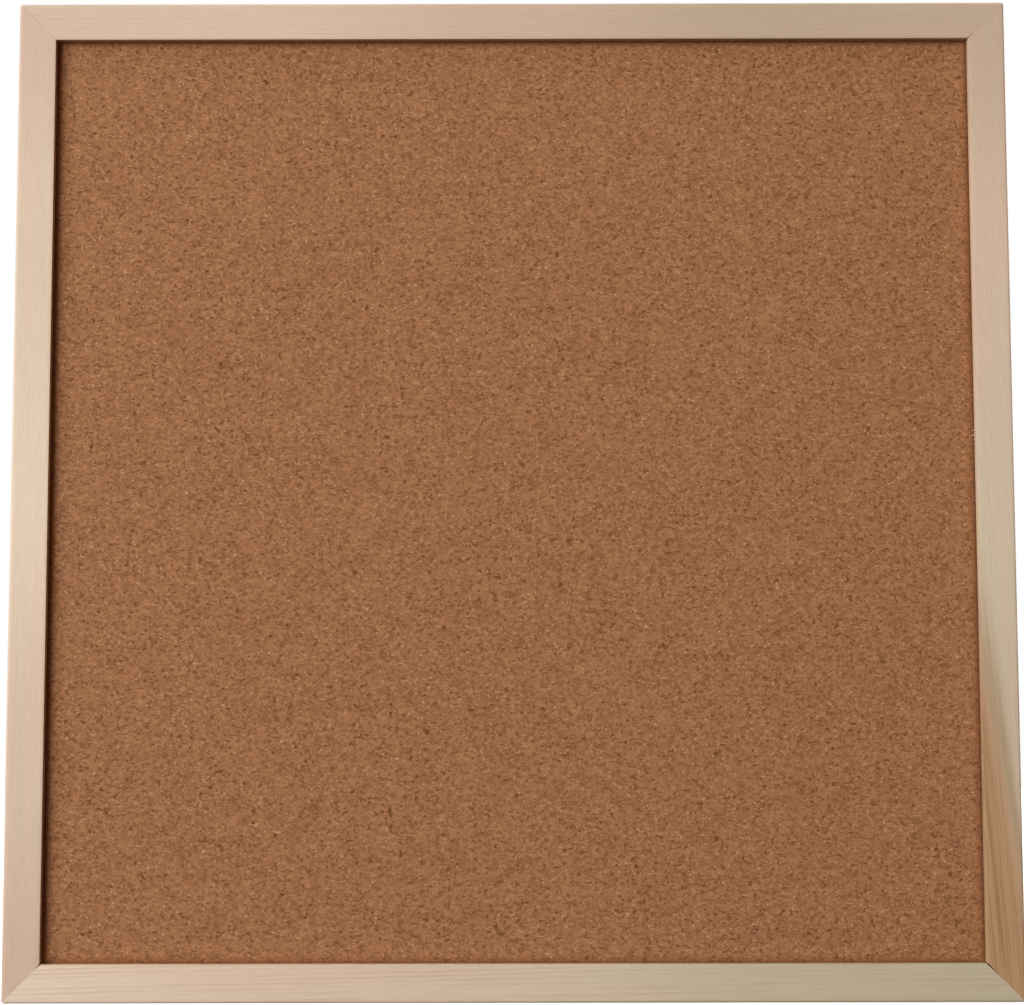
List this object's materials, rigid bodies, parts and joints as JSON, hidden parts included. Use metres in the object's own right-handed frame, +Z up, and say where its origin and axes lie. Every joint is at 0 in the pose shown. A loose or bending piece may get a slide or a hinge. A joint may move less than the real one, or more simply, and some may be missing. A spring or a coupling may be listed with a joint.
{
  "type": "framed cork pin board",
  "caption": "Square cork pin board in a mitred pine frame, with a shallow front recess for pin badges and swinging ring hangers on its back.",
  "frame": {"origin": "middle of the board's width and height, in the plane of the wall that the bumpers bear on", "axes": "+X to the right as seen from the front, +Y back into the wall, +Z up"},
  "size_m": [0.4, 0.0177, 0.4],
  "materials": {
    "pine": "bare sanded pine, pale, with fine straight grain",
    "cork": "raw pressed cork granules, matte",
    "softboard": "pressed wood fibre, matte, slightly fuzzy",
    "zinc_steel": "bright zinc plate",
    "rubber": "soft dark grey rubber, matte"
  },
  "bodies": {
    "board": {"top_rail": "pine", "right_rail": "pine", "bottom_rail": "pine", "left_rail": "pine", "cork_sheet": "cork", "backing_board": "softboard", "top_left_corner_nail_1": "zinc_steel", "top_left_corner_nail_2": "zinc_steel", "top_right_corner_nail_1": "zinc_steel", "top_right_corner_nail_2": "zinc_steel", "bottom_right_corner_nail_1": "zinc_steel", "bottom_right_corner_nail_2": "zinc_steel", "bottom_left_corner_nail_1": "zinc_steel", "bottom_left_corner_nail_2": "zinc_steel", "top_panel_point_1": "zinc_steel", "top_panel_point_2": "zinc_steel", "top_panel_point_3": "zinc_steel", "right_panel_point_1": "zinc_steel", "right_panel_point_2": "zinc_steel", "right_panel_point_3": "zinc_steel", "bottom_panel_point_1": "zinc_steel", "bottom_panel_point_2": "zinc_steel", "bottom_panel_point_3": "zinc_steel", "left_panel_point_1": "zinc_steel", "left_panel_point_2": "zinc_steel", "left_panel_point_3": "zinc_steel", "left_hanger_strap": "zinc_steel", "left_hanger_screw": "zinc_steel", "right_hanger_strap": "zinc_steel", "right_hanger_screw": "zinc_steel", "left_wall_bumper": "rubber", "right_wall_bumper": "rubber"},
    "left_ring": {"left_hanger_ring": "zinc_steel"},
    "right_ring": {"right_hanger_ring": "zinc_steel"}
  },
  "joints": [
    {"name": "left_ring_swing", "type": "hinge", "parent": "board", "child": "left_ring", "pos_m": [-0.195, -0.00185, 0.1], "axis": [1, 0, 0], "range_deg": [0, 180]},
    {"name": "right_ring_swing", "type": "hinge", "parent": "board", "child": "right_ring", "pos_m": [0.195, -0.00185, 0.1], "axis": [1, 0, 0], "range_deg": [0, 180]}
  ]
}
